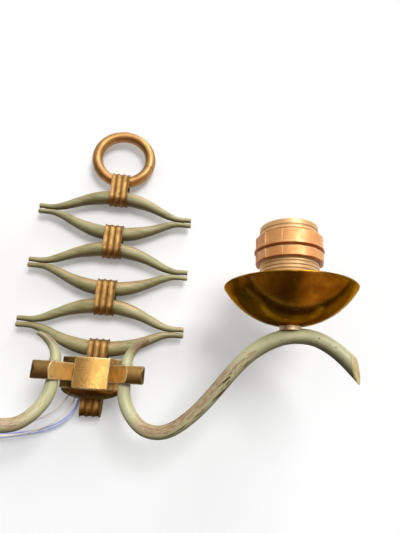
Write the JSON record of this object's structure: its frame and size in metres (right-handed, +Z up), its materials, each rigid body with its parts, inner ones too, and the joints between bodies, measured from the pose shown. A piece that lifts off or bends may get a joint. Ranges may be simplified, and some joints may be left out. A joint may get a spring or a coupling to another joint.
{
  "type": "wall lamp",
  "caption": "Brass and green-lacquered wall lamp with a lens-shaped bow spine, a hanging ring, and swivelling curved arms carrying dished screw lampholders.",
  "frame": {"origin": "on the wall plane, behind the middle of the hub", "axes": "+X to the right arm as seen from the room, +Y into the wall, +Z up"},
  "size_m": [0.3422, 0.1137, 0.2636],
  "materials": {
    "bow_lacquer": "sage green lacquer, worn to brass along the ridges",
    "arm_lacquer": "pale sage green lacquer, chipped and rubbed to red-brown",
    "fluted_brass": "fluted strip, tarnished in the flutes",
    "aged_brass": "cast and machined, aged",
    "plain_brass": "machined",
    "pale_brass": "bare, dull",
    "polished_brass": "spun and polished, lacquered dark gold",
    "gold_plastic": "moulded, gold coloured",
    "orange_gold_plastic": "moulded, orange gold",
    "insert_ceramic": "glazed ceramic",
    "contact_brass": "pressed sheet",
    "dark_sleeve": "dark insulating sleeve",
    "pink_insulation": "thin insulation",
    "blue_insulation": "thin insulation",
    "wire_insulation": "thin insulation"
  },
  "bodies": {
    "frame": {"blue_lead_front": "blue_insulation", "blue_lead_rear": "blue_insulation", "hanging_ring": "aged_brass", "hub_back_cover": "plain_brass", "hub_screws": "plain_brass", "hub_shell": "aged_brass", "hub_strap": "fluted_brass", "hub_wires": "wire_insulation", "lead_bush": "dark_sleeve", "left_ear": "aged_brass", "left_ear_set_screw": "plain_brass", "lower_bottom_bow": "bow_lacquer", "lower_top_bow": "bow_lacquer", "middle_band": "fluted_brass", "middle_bottom_bow": "bow_lacquer", "middle_top_bow": "bow_lacquer", "pink_lead_lower": "pink_insulation", "pink_lead_upper": "pink_insulation", "right_ear": "aged_brass", "right_ear_set_screw": "plain_brass", "strap_core": "plain_brass", "top_band": "fluted_brass", "upper_band": "fluted_brass", "upper_bottom_bow": "bow_lacquer", "upper_top_bow": "bow_lacquer"},
    "right_arm": {"right_arm_tube": "arm_lacquer", "right_arm_end_plug": "pale_brass", "right_seat_washer": "pale_brass", "right_threaded_nipple": "plain_brass", "right_drip_dish": "polished_brass", "right_dish_nut": "plain_brass", "right_holder_cap": "gold_plastic", "right_holder_skirt": "gold_plastic", "right_holder_insert": "insert_ceramic", "right_screw_shell": "contact_brass", "right_centre_contact": "contact_brass", "right_arm_wires": "wire_insulation"},
    "right_upper_ring": {"right_upper_shade_ring": "orange_gold_plastic"},
    "right_lower_ring": {"right_lower_shade_ring": "orange_gold_plastic"},
    "left_arm": {"left_arm_tube": "arm_lacquer", "left_arm_end_plug": "pale_brass", "left_seat_washer": "pale_brass", "left_threaded_nipple": "plain_brass", "left_drip_dish": "polished_brass", "left_dish_nut": "plain_brass", "left_holder_cap": "gold_plastic", "left_holder_skirt": "gold_plastic", "left_holder_insert": "insert_ceramic", "left_screw_shell": "contact_brass", "left_centre_contact": "contact_brass", "left_arm_wires": "wire_insulation"},
    "left_upper_ring": {"left_upper_shade_ring": "orange_gold_plastic"},
    "left_lower_ring": {"left_lower_shade_ring": "orange_gold_plastic"}
  },
  "joints": [
    {"name": "right_arm_swivel", "type": "hinge", "parent": "frame", "child": "right_arm", "pos_m": [0.0237, -0.0363, 0], "axis": [0, 0, -1], "range_deg": [-13, 58]},
    {"name": "right_upper_ring_travel", "type": "slide", "parent": "right_arm", "child": "right_upper_ring", "axis": [0, 0, 1], "range_m": [-0.0008, 0.008]},
    {"name": "right_lower_ring_travel", "type": "slide", "parent": "right_arm", "child": "right_lower_ring", "axis": [0, 0, 1], "range_m": [-0.01, 0.0008]},
    {"name": "left_arm_swivel", "type": "hinge", "parent": "frame", "child": "left_arm", "pos_m": [-0.0237, -0.0363, 0], "axis": [0, 0, 1], "range_deg": [-13, 58]},
    {"name": "left_upper_ring_travel", "type": "slide", "parent": "left_arm", "child": "left_upper_ring", "axis": [0, 0, 1], "range_m": [-0.0008, 0.008]},
    {"name": "left_lower_ring_travel", "type": "slide", "parent": "left_arm", "child": "left_lower_ring", "axis": [0, 0, 1], "range_m": [-0.01, 0.0008]}
  ]
}
